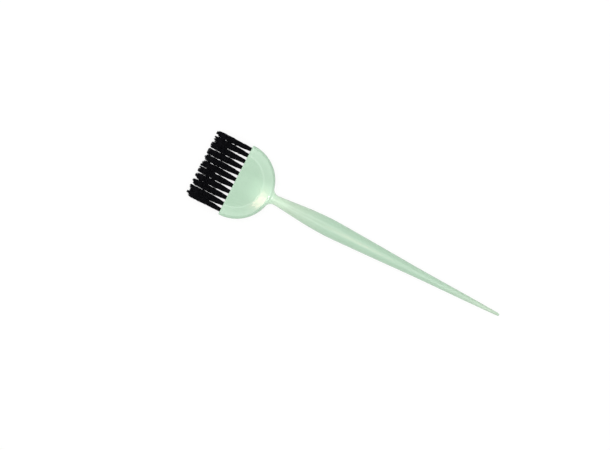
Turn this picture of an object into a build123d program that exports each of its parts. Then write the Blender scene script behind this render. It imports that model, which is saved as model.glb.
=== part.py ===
from build123d import *
import os

# A wide tint brush: a one-piece moulded handle with a half-round head, tufts of folded filament in blind
# holes along the head's straight front edge, and a flat anchor wire through the fold of each tuft.
#
# Millimetres. The brush lies flat: +X runs from the bristle tips to the tail, Y runs across, +Z is up.
# The origin is under the middle of the whole length, on the surface that the head lies on.

# Tuft holes
rows = 3
columns = 11
hole_diameter = 3.1
hole_depth = 8.0
row_wall = 0.6  # plastic between two rows of holes
column_wall = 2.17  # plastic between two columns of holes
face_wall = 1.15  # plastic between the outer rows and the head's flat faces
side_wall = 2.1  # plastic between the outer columns and the head's sides

# Head
front_setback = 0.65  # how far the front edge lies ahead of the centre of the round outline
rim_width = 8.2  # from the step in the face out to the outline
rim_drop = 0.7
step_width = 1.2  # a faint slanting step runs round the face
step_drop = 0.13
crown_width = 5.1  # from the flat middle of the face out to the step
crown_drop = 0.11
rim_rounding = 2.5
front_rounding = 0.7

# Shank: neck, grip and tail
handle_length = 230.0  # front edge of the head to the end of the tail
neck_gap = 5.2  # from the back of the head to the narrowest place of the neck
neck_rounding = 5.6
neck_width = 7.8
neck_thickness = 7.2
grip_reach = 41.15  # from the neck to the fullest place of the grip
grip_width = 14.3
grip_thickness = 9.8
waist_reach = 120.15  # from the neck to where the belly of the grip has run out into the tail
waist_width = 7.8
waist_thickness = 6.6
tail_reach = 14.6  # from the end back to where the tail starts to come to its point
tail_diameter = 3.5
tail_tip_diameter = 2.3

# Tufts and anchors
bristle_length = 30.0
spread_length = 16.0  # distance out of the head over which a tuft spreads to its full width
tuft_gap = 0.17  # between two fully spread tufts
hole_clearance = 0.02  # between a tuft and the wall of its hole
fold_thickness = 1.2  # filament between the anchor and the bottom of the hole
fold_rounding = 0.9
tip_rounding = 0.4
anchor_height = 1.6  # along the hole
anchor_thickness = 0.4
anchor_bite = 0.3  # how far each end of an anchor is driven into the wall of the hole

# Sizes and places that follow
row_pitch = hole_diameter + row_wall
column_pitch = hole_diameter + column_wall
head_thickness = (rows - 1) * row_pitch + hole_diameter + 2 * face_wall
head_radius = ((columns - 1) * column_pitch + hole_diameter) / 2 + side_wall
middle_z = head_thickness / 2
front_x = bristle_length - (handle_length + bristle_length) / 2
head_centre_x = front_x + front_setback
neck_x = head_centre_x + head_radius + neck_gap
tip_centre_x = front_x + handle_length - tail_tip_diameter / 2
row_z = [middle_z + (row - (rows - 1) / 2) * row_pitch for row in range(rows)]
column_y = [(column - (columns - 1) / 2) * column_pitch for column in range(columns)]
anchor_x = front_x + hole_depth - fold_thickness - anchor_height / 2
anchor_width = hole_diameter + 2 * anchor_bite


def between(start, end, share):
    return start + (end - start) * share


def section_between(start, end, along, grown):
    """A shank section part of the way along from one to the next, with its size part of the way too."""
    x = between(start[0], end[0], along)
    width = between(start[1], end[1], grown)
    thickness = between(start[2], end[2], grown)
    return (x, width, thickness)


def shank_sections():
    """The shank's elliptical sections, each as its place along X, its width and its thickness."""
    in_head = (head_centre_x + head_radius - neck_rounding, neck_width, neck_thickness)
    neck = (neck_x, neck_width, neck_thickness)
    grip = (neck_x + grip_reach, grip_width, grip_thickness)
    waist = (neck_x + waist_reach, waist_width, waist_thickness)
    tail = (front_x + handle_length - tail_reach, tail_diameter, tail_diameter)
    tip = (tip_centre_x, tail_tip_diameter, tail_tip_diameter)
    return [
        in_head,
        neck,
        section_between(neck, grip, 0.35, 0.43),
        section_between(neck, grip, 0.73, 0.85),
        grip,
        section_between(grip, waist, 0.22, 0.12),
        section_between(grip, waist, 0.61, 0.54),
        waist,
        section_between(waist, tail, 0.57, 0.56),
        tail,
        tip,
    ]


def crowned_arc(inner, outer, middle_fall):
    """A crowned stretch of face, which has fallen by the given share of its drop half way out."""
    middle = (between(inner[0], outer[0], 0.5), between(inner[1], outer[1], middle_fall))
    ThreePointArc(inner, middle, outer)


def half_profile(side):
    """The head's face and rim on one side of its middle plane, from its centre out to its side wall."""
    side_x = head_centre_x + head_radius
    rim_x = side_x - rim_width
    step_x = rim_x - step_width
    flat_edge_x = step_x - crown_width
    face_z = middle_z + side * head_thickness / 2
    step_z = face_z - side * crown_drop
    rim_z = step_z - side * step_drop
    side_z = rim_z - side * rim_drop
    Line((head_centre_x, middle_z), (head_centre_x, face_z))
    Line((head_centre_x, face_z), (flat_edge_x, face_z))
    crowned_arc((flat_edge_x, face_z), (step_x, step_z), middle_fall=0.25)
    Line((step_x, step_z), (rim_x, rim_z))
    crowned_arc((rim_x, rim_z), (side_x, side_z), middle_fall=0.42)
    Line((side_x, side_z), (side_x, middle_z))


def anchor_box(y, z, mode):
    """The space one anchor fills, across its hole."""
    with Locations((anchor_x, y, z)):
        Box(anchor_height, anchor_width, anchor_thickness, mode=mode)


def make_handle():
    with BuildPart() as handle:
        # Head: a disc with crowned rims, cut off straight at the front
        with BuildSketch(Plane.XZ) as profile:
            with BuildLine():
                half_profile(1)
                half_profile(-1)
            make_face()
            corners = profile.vertices().group_by(Axis.X)[-1].filter_by(lambda v: v.Z != middle_z)
            fillet(corners, rim_rounding)
        revolve(axis=Axis((head_centre_x, 0, 0), (0, 0, 1)))
        split(bisect_by=Plane.YZ.offset(front_x), keep=Keep.TOP)

        # Shank, with a round end to its tail
        for x, width, thickness in shank_sections():
            with BuildSketch(Plane.YZ.offset(x)):
                with Locations((0, middle_z)):
                    Ellipse(width / 2, thickness / 2)
        loft()
        with Locations((tip_centre_x, 0, middle_z)):
            Sphere(tail_tip_diameter / 2)

        # Roundings at the neck and round the front face
        back_x = head_centre_x + head_radius
        junction = handle.edges().filter_by(GeomType.BSPLINE)
        fillet(junction.filter_by_position(Axis.X, back_x - rim_rounding / 2, neck_x), neck_rounding)
        fillet(handle.faces().sort_by(Axis.X)[0].edges(), front_rounding)

        # Blind holes for the tufts, each with a notch on both sides for its anchor
        with BuildSketch(Plane.YZ.offset(front_x)):
            with Locations(*[(y, z) for y in column_y for z in row_z]):
                Circle(hole_diameter / 2)
        extrude(amount=hole_depth, mode=Mode.SUBTRACT)
        for z in row_z:
            for y in column_y:
                anchor_box(y, z, Mode.SUBTRACT)
    return handle.part


def make_tuft(y, z):
    """A bundle of filament folded round its anchor, in the hole at (y, z), spreading outside the head."""
    mouth = Plane(origin=(front_x, y, z), x_dir=(0, 1, 0), z_dir=(-1, 0, 0))
    packed_radius = hole_diameter / 2 - hole_clearance
    spread_width = column_pitch - tuft_gap
    spread_thickness = row_pitch - tuft_gap
    with BuildPart() as tuft:
        with BuildSketch(mouth.offset(-hole_depth)):
            Circle(packed_radius)
        extrude(amount=hole_depth)
        fillet(tuft.edges().sort_by(Axis.X)[-1], fold_rounding)
        anchor_box(y, z, Mode.SUBTRACT)
        with BuildSketch(mouth):
            Circle(packed_radius)
        with BuildSketch(mouth.offset(spread_length)) as spread:
            Ellipse(spread_width / 2, spread_thickness / 2)
        loft()
        extrude(spread.sketch, amount=bristle_length - spread_length)
        fillet(tuft.edges().sort_by(Axis.X)[0], tip_rounding)
    return tuft.part


def make_anchors(z):
    """The anchors of one row of tufts."""
    with BuildPart() as anchors:
        for y in column_y:
            anchor_box(y, z, Mode.ADD)
    return anchors.part


def save(part, name):
    part.label = name
    export_step(part, f"parts/{name}.step")


os.makedirs("parts", exist_ok=True)
save(make_handle(), "handle")
for row, z in enumerate(row_z, start=1):
    save(make_anchors(z), f"anchor_wires_row{row}")
    for column, y in enumerate(column_y, start=1):
        save(make_tuft(y, z), f"tuft_row{row}_col{column:02d}")
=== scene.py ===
import math
import random

import bmesh
import bpy
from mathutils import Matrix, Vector


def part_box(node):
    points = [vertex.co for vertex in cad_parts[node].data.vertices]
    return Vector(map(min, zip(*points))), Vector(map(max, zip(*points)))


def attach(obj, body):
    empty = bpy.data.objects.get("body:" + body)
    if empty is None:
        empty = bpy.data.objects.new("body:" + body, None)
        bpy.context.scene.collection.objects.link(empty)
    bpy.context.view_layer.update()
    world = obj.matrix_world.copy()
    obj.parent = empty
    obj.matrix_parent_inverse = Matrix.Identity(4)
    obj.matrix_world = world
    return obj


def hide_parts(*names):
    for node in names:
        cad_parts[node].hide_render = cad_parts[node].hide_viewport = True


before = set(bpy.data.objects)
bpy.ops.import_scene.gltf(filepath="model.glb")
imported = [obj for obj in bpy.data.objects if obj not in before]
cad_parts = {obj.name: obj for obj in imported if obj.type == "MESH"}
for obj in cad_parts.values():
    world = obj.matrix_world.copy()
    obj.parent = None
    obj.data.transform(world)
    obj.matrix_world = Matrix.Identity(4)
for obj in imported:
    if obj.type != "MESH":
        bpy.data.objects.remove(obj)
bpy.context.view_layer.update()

# The tint brush's looks: black nylon filaments folded round their anchors and driven into the head, and the
# glossy mint moulding that holds them. Metres, in the part's own frame: +X to the tail, +Z up.

MM = 0.001
handle_low, handle_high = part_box("handle")
FRONT_X = handle_low.x
HEAD_LENGTH = 30.65 * MM  # from its front edge to its back
HEAD_BACK_X = FRONT_X + HEAD_LENGTH
MIDDLE_Z = (handle_low.z + handle_high.z) / 2
ROWS = 3
COLUMNS = 11

# Filaments
FILAMENT_RADIUS = 0.075 * MM
FILAMENT_SPACING = 0.162 * MM
FILAMENT_SIDES = 3
TIP_THINNING = (0.85, 0.6)  # shares of the radius at the last two rings
PACKED_RADIUS = 1.53 * MM  # of a tuft in its hole
LEG_RINGS = 18  # along a filament's free length, root to tip
LEG_SHARES = [ring / (LEG_RINGS - 1) for ring in range(LEG_RINGS)]
FOLD_ANGLES = (0, 90, 180)  # rings round the fold under the anchor
SEEDS_PER_ROW = 100  # every tuft has a seed of its own

# A tuft: how fast it takes its shape on the way out, in parts per full length
SQUARENESS = 0.85  # 0 is as round as the hole, 1 is a full rectangle
SQUARING_RATE = 3
RISING_RATE = 1.7  # towards the rows above and below
ROW_OVERLAP = 0.05 * MM

# Locks: filaments of a tuft that cling together towards their tips, in millimetres
LOCKS_ACROSS = 4
LOCKS_UP = 3
LOCK_SCATTER = 0.5  # of a lock's place, in locks
LOCK_SIDE_SCATTER = 0.1  # of a lock's place across, in half tufts
LOCK_REACH_SPREAD = 0.7
LOCK_REACH_SHARE = 0.6  # of that spread, between locks one above the other
LOCK_REACH_LIMIT = 0.4
LOCK_POINTING = 0.8  # how much shorter a filament is per millimetre to the side of its lock
LOCK_SWAY = 0.15
LOCK_PULL = (0.15, 0.45)  # the share of the way to its lock that a filament has gone at its tip
CLING_START = 0.55  # share of the way out where the filaments of a lock start to close up
CLING_STRETCH = 0.45
CLING_CURVE = 1.5

# Single filaments, in millimetres
FILAMENT_SWAY = 0.05
SWAY_CURVE = 0.7
TIP_ALLOWANCE = 1.2  # length to spare, which the locks and the wear take off again
WEAR = 0.25
BROKEN_SHARE = 0.15  # of the filaments, worn down further than the rest
BROKEN_BY = (0.4, 2.6)
SHORTEST_SHARE = 0.72  # of the column's reach
HELD_SHARE = 0.97  # of the filaments, which stray little; the rest stray more
HELD_STRAY = 0.12
LOOSE_STRAY = 0.5

# How far apart neighbouring tufts stand, in millimetres, at one to five fifths of their length, from column
# 1 to column 11. The first and last of them are the sides of the pack.
GAPS = (
    (2.15, 2.05, 1.90, 1.75, 1.70),
    (0.65, 0.00, 0.08, 0.05, 0.20),
    (1.00, 0.50, 0.38, 0.36, 0.50),
    (1.00, 0.65, 0.26, 0.34, 0.55),
    (0.95, 0.25, 0.35, 0.28, 0.50),
    (1.00, 0.40, 0.30, 0.12, 0.40),
    (1.00, 0.40, 0.24, 0.22, 0.45),
    (1.15, 0.40, 0.28, 0.64, 0.70),
    (1.15, 0.42, 0.34, 0.70, 0.70),
    (1.35, 0.85, 0.18, 0.24, 0.40),
    (1.10, 0.40, 0.34, 0.10, 0.20),
    (2.15, 2.05, 1.90, 1.75, 1.70),
)

# The gaps waver, in millimetres, so that neighbours touch and part again all the way out. Where a gap comes
# out below zero, their filaments run into each other.
WAVER = 0.26
WAVER_PLACES = 20
WAVER_RISE = 3  # the waver has its full size a third of the way out
WAVER_SEED = 7

# Each column's longest point: how far to the +Y side of the tuft's middle, its reach out of the head, and
# how much shorter the filaments get per millimetre to its -Y side and to its +Y side. All in millimetres.
TIPS = (
    (0.9, 30.0, 1.55, 1.30),
    (0.8, 29.9, 0.90, 0.80),
    (1.8, 29.9, 0.75, 0.85),
    (0.0, 30.0, 1.20, 1.25),
    (0.1, 29.6, 0.50, 0.55),
    (-1.0, 29.9, 0.75, 0.75),
    (0.2, 30.0, 1.20, 1.00),
    (0.1, 29.5, 0.45, 0.45),
    (0.2, 30.0, 0.85, 0.90),
    (1.6, 29.4, 0.45, 0.50),
    (0.7, 30.0, 0.80, 1.40),
)

# Colours, darkest and lightest
MINT = ((0.448, 0.648, 0.486, 1), (0.474, 0.674, 0.514, 1))
# Painted light: the mint made lighter where brighter light is painted onto the neck, the grip and the
# tail's end
PAINTED_LIGHT_MINT = ((0.520, 0.684, 0.524, 1), (0.546, 0.708, 0.550, 1))
NYLON = ((0.0016, 0.0019, 0.0032, 1), (0.0125, 0.0120, 0.0160, 1))
STEEL = ((0.42, 0.42, 0.41, 1), (0.66, 0.65, 0.63, 1))

# Stretches behind the head over which painted light turns the mint paler, darker again and paler again
NECK_START = (-3 * MM, 5 * MM)
GRIP_END = (20 * MM, 50 * MM)
TAIL_START = (145 * MM, 190 * MM)

# Floor
FLOOR_SIZE = 6.0
FLOOR_SHADOW_SHARE = 0.12
FLOOR_WHITE = 1.01

# Room: the strength of its light, and how far from upright its parts reach, in degrees
ROOM_LIGHT = 0.54
CEILING_LIGHT = 3.4
CEILING_EDGE = (28, 18)
ABOVE_CAMERA_LIGHT = 0.35
ABOVE_CAMERA_EDGE = (12, 3)
WARM_WHITE = (1.0, 0.985, 0.955)  # of the lamps
WARM_PINK = (1.0, 0.66, 0.56)

# Camera
PICTURE_WIDTH = 474.4 * MM  # of the view at the brush
PICTURE_MIDDLE = (FRONT_X + 63.7 * MM, -6.68 * MM)
CAMERA_DISTANCE = 1.3
CAMERA_TURN = 27.20
SENSOR_WIDTH = 36.0


def blend_values(values, share):
    """The value at a share of the way along evenly spaced values."""
    place = share * (len(values) - 1)
    first = min(int(place), len(values) - 2)
    part = place - first
    return values[first] * (1 - part) + values[first + 1] * part


# Materials


def new_material(name):
    material = bpy.data.materials.new(name)
    material.use_nodes = True
    tree = material.node_tree
    return material, tree, tree.nodes["Principled BSDF"]


def feed(tree, socket, value):
    """Links another node's output to a socket, or gives it a plain value."""
    if isinstance(value, bpy.types.NodeSocket):
        tree.links.new(value, socket)
    else:
        socket.default_value = value


def add_node(tree, kind, settings=None, **inputs):
    node = tree.nodes.new(kind)
    for key, value in (settings or {}).items():
        setattr(node, key, value)
    for key, value in inputs.items():
        feed(tree, node.inputs[key.replace("_", " ")], value)
    return node


def math_node(tree, operation, first, second=0.0):
    node = add_node(tree, "ShaderNodeMath", {"operation": operation})
    for socket, value in zip(node.inputs, (first, second)):
        feed(tree, socket, value)
    return node.outputs[0]


def noise(tree, place, scale, detail=3.0, roughness=0.5):
    node = add_node(tree, "ShaderNodeTexNoise", Vector=place, Scale=scale, Detail=detail,
                    Roughness=roughness)
    return node.outputs["Fac"]


def color_ramp(tree, value, places, colors):
    node = add_node(tree, "ShaderNodeValToRGB", Fac=value)
    for element, position, color in zip(node.color_ramp.elements, places, colors):
        element.position = position
        element.color = color
    return node.outputs[0]


def remap(tree, value, low, high, to_low, to_high):
    node = add_node(tree, "ShaderNodeMapRange", {"clamp": True}, Value=value, From_Min=low, From_Max=high,
                    To_Min=to_low, To_Max=to_high)
    return node.outputs[0]


def weighted_sum(tree, first, first_weight, second, second_weight):
    first_part = math_node(tree, "MULTIPLY", first, first_weight)
    second_part = math_node(tree, "MULTIPLY", second, second_weight)
    return math_node(tree, "ADD", first_part, second_part)


def mix_colors(tree, share, first, second):
    node = add_node(tree, "ShaderNodeMix", {"data_type": "RGBA"})
    tree.links.new(share, node.inputs["Factor"])
    tree.links.new(first, node.inputs[6])  # A and B, as colours
    tree.links.new(second, node.inputs[7])
    return node.outputs[2]


def bump(tree, height, distance, normal=None):
    node = add_node(tree, "ShaderNodeBump", Height=height, Distance=distance, Strength=1.0)
    if normal is not None:
        tree.links.new(normal, node.inputs["Normal"])
    return node.outputs[0]


def glossy_mint_plastic():
    """Pale mint moulding: a polished skin with faint flow marks, handling scratches and a parting line,
    with painted light making it paler at the neck, the grip and the tail's end.
    """
    material, tree, surface = new_material("glossy_mint_plastic")
    place = add_node(tree, "ShaderNodeTexCoord").outputs["Object"]
    axes = add_node(tree, "ShaderNodeSeparateXYZ", Vector=place).outputs

    # Pigment, a little uneven where the plastic flowed
    flow = add_node(tree, "ShaderNodeMapping", Vector=place, Scale=(28.0, 70.0, 70.0)).outputs[0]
    pigment = noise(tree, flow, 1.0, detail=4.0)
    speckle = noise(tree, place, 1900.0, detail=2.0)
    mixed = weighted_sum(tree, pigment, 0.8, speckle, 0.2)

    # Painted light: the mint is a shade paler at the neck, the grip and the tail's end, standing in for
    # brighter light there, not a paler pigment
    def change_along(stretch, before, after):
        return remap(tree, axes["X"], HEAD_BACK_X + stretch[0], HEAD_BACK_X + stretch[1], before, after)

    neck_start = change_along(NECK_START, 0.0, 1.0)
    grip_end = change_along(GRIP_END, 1.0, 0.0)
    tail_start = change_along(TAIL_START, 0.0, 1.0)
    painted_light = math_node(tree, "MAXIMUM", math_node(tree, "MULTIPLY", neck_start, grip_end), tail_start)
    mint = color_ramp(tree, mixed, (0.30, 0.70), MINT)
    painted_light_mint = color_ramp(tree, mixed, (0.30, 0.70), PAINTED_LIGHT_MINT)
    tree.links.new(mix_colors(tree, painted_light, mint, painted_light_mint), surface.inputs["Base Color"])

    # Polish: smooth in patches, duller where hands and other brushes have rubbed it
    rubbed = noise(tree, place, 160.0, detail=5.0, roughness=0.6)
    scratch_place = add_node(tree, "ShaderNodeMapping", Vector=place, Rotation=(0, 0, 0.35),
                             Scale=(60.0, 2600.0, 2600.0)).outputs[0]
    scratches = remap(tree, noise(tree, scratch_place, 1.0, detail=2.0), 0.60, 0.72, 0.0, 1.0)
    polish = remap(tree, rubbed, 0.35, 0.70, 0.08, 0.16)
    roughness = math_node(tree, "ADD", polish, math_node(tree, "MULTIPLY", scratches, 0.08))
    tree.links.new(roughness, surface.inputs["Roughness"])

    # Relief: shallow waviness of the moulded skin, fine texture, and the ridge where the mould halves met
    waves = bump(tree, noise(tree, place, 130.0, detail=2.0), 0.030 * MM)
    grain = bump(tree, noise(tree, place, 2400.0, detail=3.0), 0.0015 * MM, waves)
    marks = bump(tree, math_node(tree, "MULTIPLY", scratches, -1.0), 0.0010 * MM, grain)
    off_middle = math_node(tree, "ABSOLUTE", math_node(tree, "SUBTRACT", axes["Z"], MIDDLE_Z))
    ridge = remap(tree, off_middle, 0.04 * MM, 0.14 * MM, 1.0, 0.0)
    parting = bump(tree, ridge, 0.04 * MM, marks)
    tree.links.new(parting, surface.inputs["Normal"])

    surface.inputs["IOR"].default_value = 1.50
    surface.inputs["Subsurface Weight"].default_value = 0.06
    surface.inputs["Subsurface Radius"].default_value = (1.0, 1.2, 1.0)
    surface.inputs["Subsurface Scale"].default_value = 1.2 * MM
    return material


def black_nylon():
    """Black filament, each strand of its own shade, a touch greyer and duller at its cut, worn tip."""
    material, tree, surface = new_material("black_nylon_filament")
    strand = add_node(tree, "ShaderNodeAttribute", {"attribute_name": "strand"}).outputs["Fac"]
    reach = add_node(tree, "ShaderNodeAttribute", {"attribute_name": "reach"}).outputs["Fac"]
    place = add_node(tree, "ShaderNodeTexCoord").outputs["Object"]
    worn = math_node(tree, "POWER", reach, 5.0)
    shade = weighted_sum(tree, strand, 0.55, worn, 0.45)
    black = color_ramp(tree, shade, (0.0, 1.0), NYLON)
    tree.links.new(black, surface.inputs["Base Color"])
    drawn = noise(tree, place, 1500.0, detail=2.0)
    skin = remap(tree, drawn, 0.3, 0.7, 0.36, 0.50)
    dull = math_node(tree, "ADD", math_node(tree, "MULTIPLY", worn, 0.12), skin)
    tree.links.new(dull, surface.inputs["Roughness"])
    surface.inputs["IOR"].default_value = 1.53
    surface.inputs["Specular IOR Level"].default_value = 0.07
    return material


def anchor_steel():
    """Flat drawn wire, with the draw marks running along it."""
    material, tree, surface = new_material("drawn_anchor_wire")
    place = add_node(tree, "ShaderNodeTexCoord").outputs["Object"]
    drawn_place = add_node(tree, "ShaderNodeMapping", Vector=place,
                           Scale=(9000.0, 250.0, 9000.0)).outputs[0]
    drawn = noise(tree, drawn_place, 1.0, detail=3.0)
    steel = color_ramp(tree, drawn, (0.0, 1.0), STEEL)
    tree.links.new(steel, surface.inputs["Base Color"])
    tree.links.new(remap(tree, drawn, 0.3, 0.7, 0.26, 0.42), surface.inputs["Roughness"])
    tree.links.new(bump(tree, drawn, 0.004 * MM), surface.inputs["Normal"])
    surface.inputs["Metallic"].default_value = 1.0
    return material


def pale_floor():
    """White paper with the brush's soft shadow: seen directly or mirrored, most of its white is its own."""
    material = bpy.data.materials.new("white_floor")
    material.use_nodes = True
    tree = material.node_tree
    tree.nodes.clear()
    rays = add_node(tree, "ShaderNodeLightPath").outputs
    seen_ray = math_node(tree, "MAXIMUM", rays["Is Camera Ray"], rays["Is Glossy Ray"])
    paper = add_node(tree, "ShaderNodeBsdfDiffuse", Color=(0.82, 0.82, 0.82, 1))
    dimmed = add_node(tree, "ShaderNodeBsdfDiffuse", Color=(FLOOR_SHADOW_SHARE,) * 3 + (1,))
    own = add_node(tree, "ShaderNodeEmission", Color=(1, 1, 1, 1),
                   Strength=FLOOR_WHITE - FLOOR_SHADOW_SHARE)
    seen = tree.nodes.new("ShaderNodeAddShader")
    tree.links.new(dimmed.outputs[0], seen.inputs[0])
    tree.links.new(own.outputs[0], seen.inputs[1])
    choose = tree.nodes.new("ShaderNodeMixShader")
    tree.links.new(seen_ray, choose.inputs[0])
    tree.links.new(paper.outputs[0], choose.inputs[1])
    tree.links.new(seen.outputs[0], choose.inputs[2])
    out = tree.nodes.new("ShaderNodeOutputMaterial")
    tree.links.new(choose.outputs[0], out.inputs["Surface"])
    return material


# Filaments


def straight_filament(rings):
    """A closed, thin, straight filament along X with its rings at whole numbers and a radius of one."""
    bm = bmesh.new()
    made = bmesh.ops.create_circle(bm, cap_ends=True, segments=FILAMENT_SIDES, radius=1.0)
    quarter_turn = Matrix.Rotation(math.pi / 2, 3, "Y")
    bmesh.ops.rotate(bm, verts=made["verts"], cent=(0, 0, 0), matrix=quarter_turn)
    end = bm.faces[:]
    for _ in range(rings - 1):
        grown = bmesh.ops.extrude_face_region(bm, geom=end)["geom"]
        end_verts = [element for element in grown if isinstance(element, bmesh.types.BMVert)]
        bmesh.ops.translate(bm, verts=end_verts, vec=(1, 0, 0))
        end = [element for element in grown if isinstance(element, bmesh.types.BMFace)]
    bmesh.ops.recalc_face_normals(bm, faces=bm.faces[:])
    mesh = bpy.data.meshes.new("straight_filament")
    bm.to_mesh(mesh)
    bm.free()
    return mesh


def packed_places():
    """Where the filaments of one leg of the fold lie in the hole, closely packed beside the anchor.

    Each place is its distance across, its height and its share of the way out to the side of its layer.
    """
    limit = PACKED_RADIUS - FILAMENT_RADIUS
    places = []
    z = ANCHOR_HALF_THICKNESS + FILAMENT_RADIUS
    shifted = False
    while z < limit:
        half_chord = math.sqrt(limit**2 - z**2)
        count = max(int(2 * half_chord / FILAMENT_SPACING) - shifted, 1)
        for i in range(count + 1):
            side_share = 2 * i / count - 1
            places.append((side_share * count * FILAMENT_SPACING / 2, z, side_share))
        z += FILAMENT_SPACING * math.sqrt(3) / 2
        shifted = not shifted
    return places


def gaps_beside(column, out):
    """The gaps on both sides of a column's tuft, a share of the way out to the tips."""
    root_gap = (COLUMN_PITCH - 2 * PACKED_RADIUS) / MM
    low_gap = blend_values((root_gap, *GAPS[column]), out) + blend_values(wavers[column], out)
    high_gap = blend_values((root_gap, *GAPS[column + 1]), out) + blend_values(wavers[column + 1], out)
    return low_gap * MM, high_gap * MM


def make_wavers():
    """How much wider or narrower each gap is than its even course, from the root out to the tips."""
    chance = random.Random(WAVER_SEED)
    return [
        [chance.gauss(0, WAVER) * min(1.0, WAVER_RISE * i / WAVER_PLACES) for i in range(WAVER_PLACES)]
        for _ in GAPS
    ]


def make_locks(column, chance):
    """The locks of one tuft: each its place in the tuft, from -1 to 1 both ways, its reach, pull and sway.

    The locks of a column's three tufts keep much the same places across and reaches.
    """
    column_chance = random.Random(column)
    locks = []
    for i in range(LOCKS_ACROSS):
        across = (2 * i + 1 + column_chance.uniform(-LOCK_SCATTER, LOCK_SCATTER)) / LOCKS_ACROSS - 1
        column_reach = column_chance.gauss(0, LOCK_REACH_SPREAD)
        for j in range(LOCKS_UP):
            upward = (2 * j + 1 + chance.uniform(-LOCK_SCATTER, LOCK_SCATTER)) / LOCKS_UP - 1
            reach = column_reach + chance.gauss(0, LOCK_REACH_SPREAD * LOCK_REACH_SHARE)
            pull = chance.uniform(*LOCK_PULL)
            sway = [(chance.gauss(0, LOCK_SWAY), chance.gauss(0, LOCK_SWAY)) for _ in LEG_SHARES]
            own_across = across + chance.uniform(-LOCK_SIDE_SCATTER, LOCK_SIDE_SCATTER)
            locks.append((own_across, upward, reach, pull, sway))
    return locks


def leg_length(column, side_share, lock_across, lock_reach, chance):
    """How far out of the head one filament reaches, in millimetres."""
    apex, reach, low_slope, high_slope = TIPS[column]
    half_pitch = COLUMN_PITCH / 2 / MM
    from_apex = side_share * half_pitch - apex
    shortening = max(-low_slope * from_apex, high_slope * from_apex)
    from_lock = abs(side_share - lock_across) * half_pitch
    worn = abs(chance.gauss(0, WEAR))
    if chance.random() < BROKEN_SHARE:
        worn += chance.uniform(*BROKEN_BY)
    length = reach + TIP_ALLOWANCE - shortening + min(lock_reach, LOCK_REACH_LIMIT)
    length -= LOCK_POINTING * from_lock
    length -= worn
    return min(max(length, SHORTEST_SHARE * reach), FULL_REACH)


def free_leg(column, root, side_share, z, locks, chance):
    """Ring centres of one leg, from the mouth of the hole to its tip, for its packed place."""
    layer = z / (PACKED_RADIUS - FILAMENT_RADIUS)
    chord = math.sqrt(1 - layer**2)
    lock = min(locks, key=lambda one: (one[0] - side_share) ** 2 + (one[1] - layer) ** 2)
    lock_across, lock_upward, lock_reach, pull, lock_sway = lock
    length = leg_length(column, side_share, lock_across, lock_reach, chance) * MM
    sway_y = [chance.gauss(0, FILAMENT_SWAY) for _ in LEG_SHARES]
    sway_z = [chance.gauss(0, FILAMENT_SWAY) for _ in LEG_SHARES]
    stray = chance.gauss(0, HELD_STRAY if chance.random() < HELD_SHARE else LOOSE_STRAY)
    centres = []
    for i, share in enumerate(LEG_SHARES):
        out = share * length / (FULL_REACH * MM)
        low_gap, high_gap = gaps_beside(column, out)
        middle = (low_gap - high_gap) / 4
        half_width = (COLUMN_PITCH - (low_gap + high_gap) / 2) / 2 - FILAMENT_RADIUS
        full_height = ROW_PITCH / 2 + ROW_OVERLAP
        half_height = PACKED_RADIUS + (full_height - PACKED_RADIUS) * min(1.0, out * RISING_RATE)
        squared = min(1.0, out * SQUARING_RATE) * SQUARENESS
        clinging = pull * max(0.0, (share - CLING_START) / CLING_STRETCH) ** CLING_CURVE
        across = side_share * chord ** (1 - squared)
        across += (lock_across - across) * clinging
        upward = layer + (lock_upward - layer) * clinging
        loose = share**SWAY_CURVE
        side_sway = (lock_sway[i][0] + sway_y[i]) * loose + stray * share**2
        up_sway = (lock_sway[i][1] + sway_z[i]) * loose
        centres.append(Vector((
            root.x - share * length,
            root.y + middle + across * half_width + side_sway * MM,
            root.z + upward * half_height + up_sway * MM,
        )))
    return centres


def fold(root, y, z):
    """Ring centres round the anchor's inner edge, from the leg above it to the leg below."""
    tightness = (z - ANCHOR_HALF_THICKNESS) / (PACKED_RADIUS - ANCHOR_HALF_THICKNESS)
    depth = (FOLD_DEPTH - 2 * FILAMENT_RADIUS) * tightness + FILAMENT_RADIUS
    centres = []
    for angle in FOLD_ANGLES:
        turn = math.radians(angle)
        x = ANCHOR_INNER_X + depth * math.sin(turn)
        centres.append(Vector((x, root.y + y, root.z + z * math.cos(turn))))
    return centres


def lay_filament(bm, template, centres, radii):
    """Adds the straight filament to bm and bends it along the centres. Y is never along a filament."""
    bm.from_mesh(template)
    bm.verts.ensure_lookup_table()
    sides = []
    ups = []
    for before, after in zip([centres[0], *centres], [*centres[1:], centres[-1]]):
        along = (after - before).normalized()
        side = (Vector((0, 1, 0)) - along * along.y).normalized()
        sides.append(side)
        ups.append(along.cross(side))
    added = bm.verts[-len(template.vertices):]
    for vert in added:
        ring = round(vert.co.x)
        offset = sides[ring] * vert.co.y + ups[ring] * vert.co.z
        vert.co = centres[ring] + offset * radii[ring]
    return added


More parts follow.
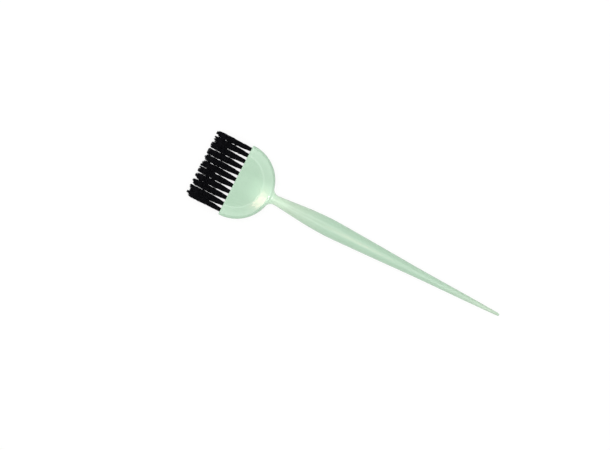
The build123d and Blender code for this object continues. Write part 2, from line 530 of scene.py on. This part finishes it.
def filament_tuft(row, column, template, places, material):
    """All the filaments of one tuft, each folded under the anchor with both of its legs out of the hole."""
    node = f"tuft_row{row}_col{column:02d}"
    low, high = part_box(node)
    root = Vector((FRONT_X, (low.y + high.y) / 2, (low.z + high.z) / 2))
    chance = random.Random(SEEDS_PER_ROW * row + column)
    thinning = [1.0] * (LEG_RINGS - len(TIP_THINNING)) + list(TIP_THINNING)
    radii = [FILAMENT_RADIUS * part for part in thinning[::-1] + [1.0] * len(FOLD_ANGLES) + thinning]
    shares = LEG_SHARES[::-1] + [0.0] * len(FOLD_ANGLES) + LEG_SHARES
    rings = [round(vert.co.x) for vert in template.vertices]
    bm = bmesh.new()
    strand = bm.verts.layers.float.new("strand")
    reach = bm.verts.layers.float.new("reach")
    locks = make_locks(column - 1, chance)
    for y, z, side_share in places:
        above = free_leg(column - 1, root, side_share, z, locks, chance)
        below = free_leg(column - 1, root, side_share, -z, locks, chance)
        centres = above[::-1] + fold(root, y, z) + below
        shade = chance.random()
        for vert, ring in zip(lay_filament(bm, template, centres, radii), rings):
            vert[strand] = shade
            vert[reach] = shares[ring]
    for face in bm.faces:
        face.smooth = True
    mesh = bpy.data.meshes.new(f"filaments_row{row}_col{column:02d}")
    bm.to_mesh(mesh)
    bm.free()
    mesh.materials.append(material)
    tuft = bpy.data.objects.new(mesh.name, mesh)
    bpy.context.scene.collection.objects.link(tuft)
    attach(tuft, "root")
    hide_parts(node)


# Sizes read from the part
anchor_low, anchor_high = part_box("anchor_wires_row1")
first_low, first_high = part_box("tuft_row1_col01")
second_low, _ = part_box("tuft_row1_col02")
upper_low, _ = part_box("tuft_row2_col01")
COLUMN_PITCH = abs(second_low.y - first_low.y)
ROW_PITCH = abs(upper_low.z - first_low.z)
ANCHOR_HALF_THICKNESS = (anchor_high.z - anchor_low.z) / 2
ANCHOR_INNER_X = anchor_high.x
FOLD_DEPTH = first_high.x - anchor_high.x
FULL_REACH = (FRONT_X - first_low.x) / MM

# The brush
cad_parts["handle"].data.materials[0] = glossy_mint_plastic()
nylon = black_nylon()
steel = anchor_steel()
for row in range(1, ROWS + 1):
    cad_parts[f"anchor_wires_row{row}"].data.materials[0] = steel

template = straight_filament(2 * LEG_RINGS + len(FOLD_ANGLES))
places = packed_places()
wavers = make_wavers()
for row in range(1, ROWS + 1):
    for column in range(1, COLUMNS + 1):
        filament_tuft(row, column, template, places, nylon)
bpy.data.meshes.remove(template)

# Floor
bm = bmesh.new()
bmesh.ops.create_grid(bm, x_segments=1, y_segments=1, size=FLOOR_SIZE / 2)
floor_mesh = bpy.data.meshes.new("floor")
bm.to_mesh(floor_mesh)
bm.free()
floor_mesh.materials.append(pale_floor())
floor = bpy.data.objects.new("floor", floor_mesh)
bpy.context.scene.collection.objects.link(floor)

# Light: a white room with a broad ring of brighter ceiling round the camera, and three soft boxes
scene = bpy.context.scene
world = bpy.data.worlds.new("white_room")
scene.world = world
world.use_nodes = True
world_tree = world.node_tree
background = world_tree.nodes["Background"]


def brighten_upward(up, edge, below, above):
    """Light that changes from one strength to another between two angles from upright."""
    start, end = (math.cos(math.radians(angle)) for angle in edge)
    return remap(world_tree, up, start, end, below, above)


direction = add_node(world_tree, "ShaderNodeTexCoord").outputs["Generated"]
up = add_node(world_tree, "ShaderNodeSeparateXYZ", Vector=direction).outputs["Z"]
rays = add_node(world_tree, "ShaderNodeLightPath").outputs
walls = math_node(world_tree, "MAXIMUM", rays["Is Glossy Ray"], ROOM_LIGHT)
ceiling = brighten_upward(up, CEILING_EDGE, walls, CEILING_LIGHT)
dimming = brighten_upward(up, ABOVE_CAMERA_EDGE, 0.0, CEILING_LIGHT - ABOVE_CAMERA_LIGHT)
room = math_node(world_tree, "SUBTRACT", ceiling, dimming)
seen = add_node(world_tree, "ShaderNodeMix", {"data_type": "FLOAT"})
world_tree.links.new(rays["Is Camera Ray"], seen.inputs[0])
world_tree.links.new(room, seen.inputs[2])  # A and B, as single values
seen.inputs[3].default_value = 1.0
world_tree.links.new(seen.outputs[0], background.inputs["Strength"])
background.inputs["Color"].default_value = (1, 1, 1, 1)


def soft_box(name, azimuth, from_upright, distance, size, power, color=WARM_WHITE, spread=180):
    """A lamp aimed at the back of the head, leaning from upright towards azimuth, in degrees."""
    lean = math.radians(from_upright)
    turn = math.radians(azimuth)
    away = Vector((math.sin(lean) * math.cos(turn), math.sin(lean) * math.sin(turn), math.cos(lean)))
    across = Vector((-math.sin(turn), math.cos(turn), 0))
    lamp = bpy.data.lights.new(name, "AREA")
    lamp.shape = "RECTANGLE"
    lamp.size, lamp.size_y = size
    lamp.energy = power
    lamp.color = color
    lamp.spread = math.radians(spread)
    box = bpy.data.objects.new(name, lamp)
    box.location = Vector((HEAD_BACK_X, 0, handle_high.z)) + away * distance
    box.rotation_mode = "QUATERNION"
    box.rotation_quaternion = Matrix((across.cross(away), across, away)).transposed().to_quaternion()
    scene.collection.objects.link(box)


soft_box("key_soft_box", azimuth=180, from_upright=40, distance=0.55, size=(0.35, 0.35), power=0.46)
soft_box("neck_soft_box", azimuth=0, from_upright=48, distance=0.04, size=(0.023, 0.015), power=0.00033,
         spread=14)
soft_box("glint_soft_box", azimuth=-18, from_upright=6.4, distance=1.5, size=(0.17, 0.13), power=0.86,
         color=WARM_PINK)

# Camera: straight above, the brush running down to the right
camera_data = bpy.data.cameras.new("camera")
camera_data.sensor_width = SENSOR_WIDTH
camera_data.lens = SENSOR_WIDTH * CAMERA_DISTANCE / PICTURE_WIDTH
camera_data.clip_end = 20.0
camera = bpy.data.objects.new("camera", camera_data)
camera.location = (*PICTURE_MIDDLE, MIDDLE_Z + CAMERA_DISTANCE)
camera.rotation_euler = (0, 0, math.radians(CAMERA_TURN))
scene.collection.objects.link(camera)
scene.camera = camera
scene.view_settings.view_transform = "Standard"
